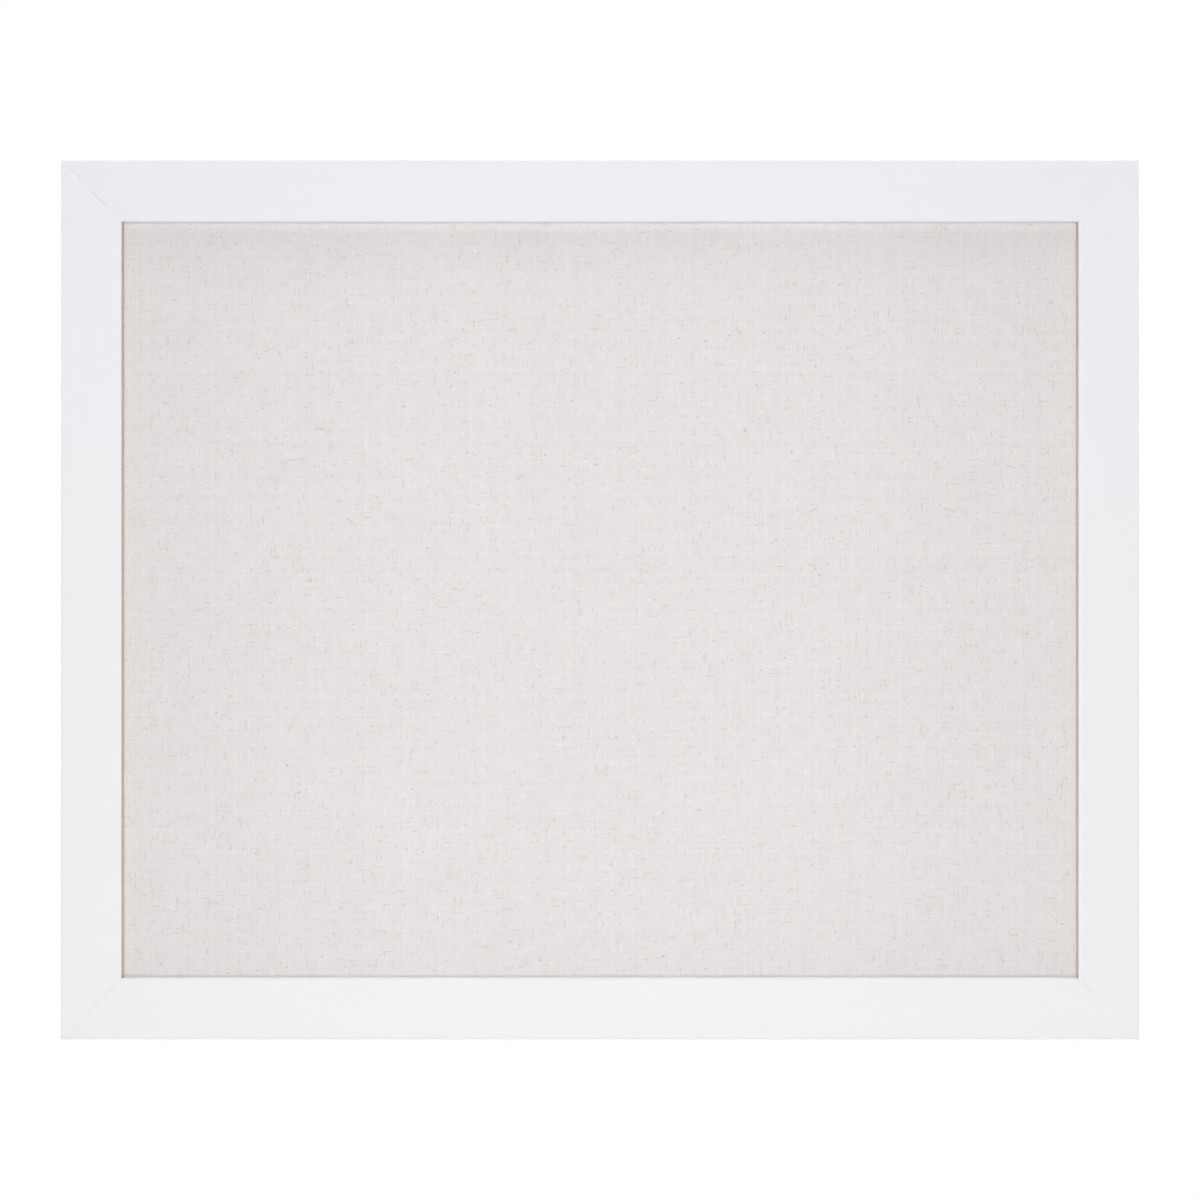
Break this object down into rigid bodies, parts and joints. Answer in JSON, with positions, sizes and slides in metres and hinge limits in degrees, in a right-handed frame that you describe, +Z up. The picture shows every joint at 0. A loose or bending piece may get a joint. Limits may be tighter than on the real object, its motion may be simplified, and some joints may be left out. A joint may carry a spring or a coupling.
{
  "type": "framed linen pinboard",
  "caption": "Wall pinboard: a white mitred frame round a linen-covered soft panel, with swinging D-ring hangers on its back.",
  "frame": {"origin": "the middle of the board on the wall's surface, the plane that the four bumpers touch", "axes": "+X to the board's right seen from the front, +Y into the wall, +Z up; the linen faces -Y"},
  "size_m": [0.6858, 0.0225, 0.5588],
  "materials": {
    "frame_paint": "solid wood or fibreboard moulding under a white satin paint",
    "linen": "pale natural linen with slubs, plain weave",
    "fibreboard": "soft pin fibreboard",
    "hardboard": "thin brown hardboard",
    "nail_steel": "spring steel",
    "point_steel": "cut steel sheet",
    "zinc_plate": "zinc-plated strip steel",
    "zinc_wire": "zinc-plated wire",
    "zinc_screw": "zinc-plated",
    "bumper": "pale soft polyurethane"
  },
  "bodies": {
    "frame": {"rail_top": "frame_paint", "rail_bottom": "frame_paint", "stile_left": "frame_paint", "stile_right": "frame_paint", "linen_cover": "linen", "pin_core": "fibreboard", "backing_board": "hardboard", "v_nail_top_left_outer": "nail_steel", "v_nail_top_left_inner": "nail_steel", "v_nail_top_right_outer": "nail_steel", "v_nail_top_right_inner": "nail_steel", "v_nail_bottom_left_outer": "nail_steel", "v_nail_bottom_left_inner": "nail_steel", "v_nail_bottom_right_outer": "nail_steel", "v_nail_bottom_right_inner": "nail_steel", "point_top_1": "point_steel", "point_top_2": "point_steel", "point_top_3": "point_steel", "point_top_4": "point_steel", "point_bottom_1": "point_steel", "point_bottom_2": "point_steel", "point_bottom_3": "point_steel", "point_bottom_4": "point_steel", "point_left_1": "point_steel", "point_left_2": "point_steel", "point_left_3": "point_steel", "point_right_1": "point_steel", "point_right_2": "point_steel", "point_right_3": "point_steel", "hanger_plate_top": "zinc_plate", "hanger_plate_bottom": "zinc_plate", "hanger_plate_left": "zinc_plate", "hanger_plate_right": "zinc_plate", "hanger_screw_top": "zinc_screw", "hanger_screw_bottom": "zinc_screw", "hanger_screw_left": "zinc_screw", "hanger_screw_right": "zinc_screw", "bumper_top_left": "bumper", "bumper_top_right": "bumper", "bumper_bottom_left": "bumper", "bumper_bottom_right": "bumper"},
    "ring_left": {"hanger_ring_left": "zinc_wire"},
    "ring_right": {"hanger_ring_right": "zinc_wire"},
    "ring_top": {"hanger_ring_top": "zinc_wire"},
    "ring_bottom": {"hanger_ring_bottom": "zinc_wire"}
  },
  "joints": [
    {"name": "ring_left_swing", "type": "hinge", "parent": "frame", "child": "ring_left", "pos_m": [-0.3269, -0.00175, 0.1944], "axis": [1, 0, 0], "range_deg": [0, 177]},
    {"name": "ring_right_swing", "type": "hinge", "parent": "frame", "child": "ring_right", "pos_m": [0.3269, -0.00175, 0.1944], "axis": [1, 0, 0], "range_deg": [0, 177]},
    {"name": "ring_top_swing", "type": "hinge", "parent": "frame", "child": "ring_top", "pos_m": [0.2579, -0.00175, 0.2634], "axis": [0, 0, -1], "range_deg": [0, 177]},
    {"name": "ring_bottom_swing", "type": "hinge", "parent": "frame", "child": "ring_bottom", "pos_m": [0.2579, -0.00175, -0.2634], "axis": [0, 0, -1], "range_deg": [0, 177]}
  ]
}
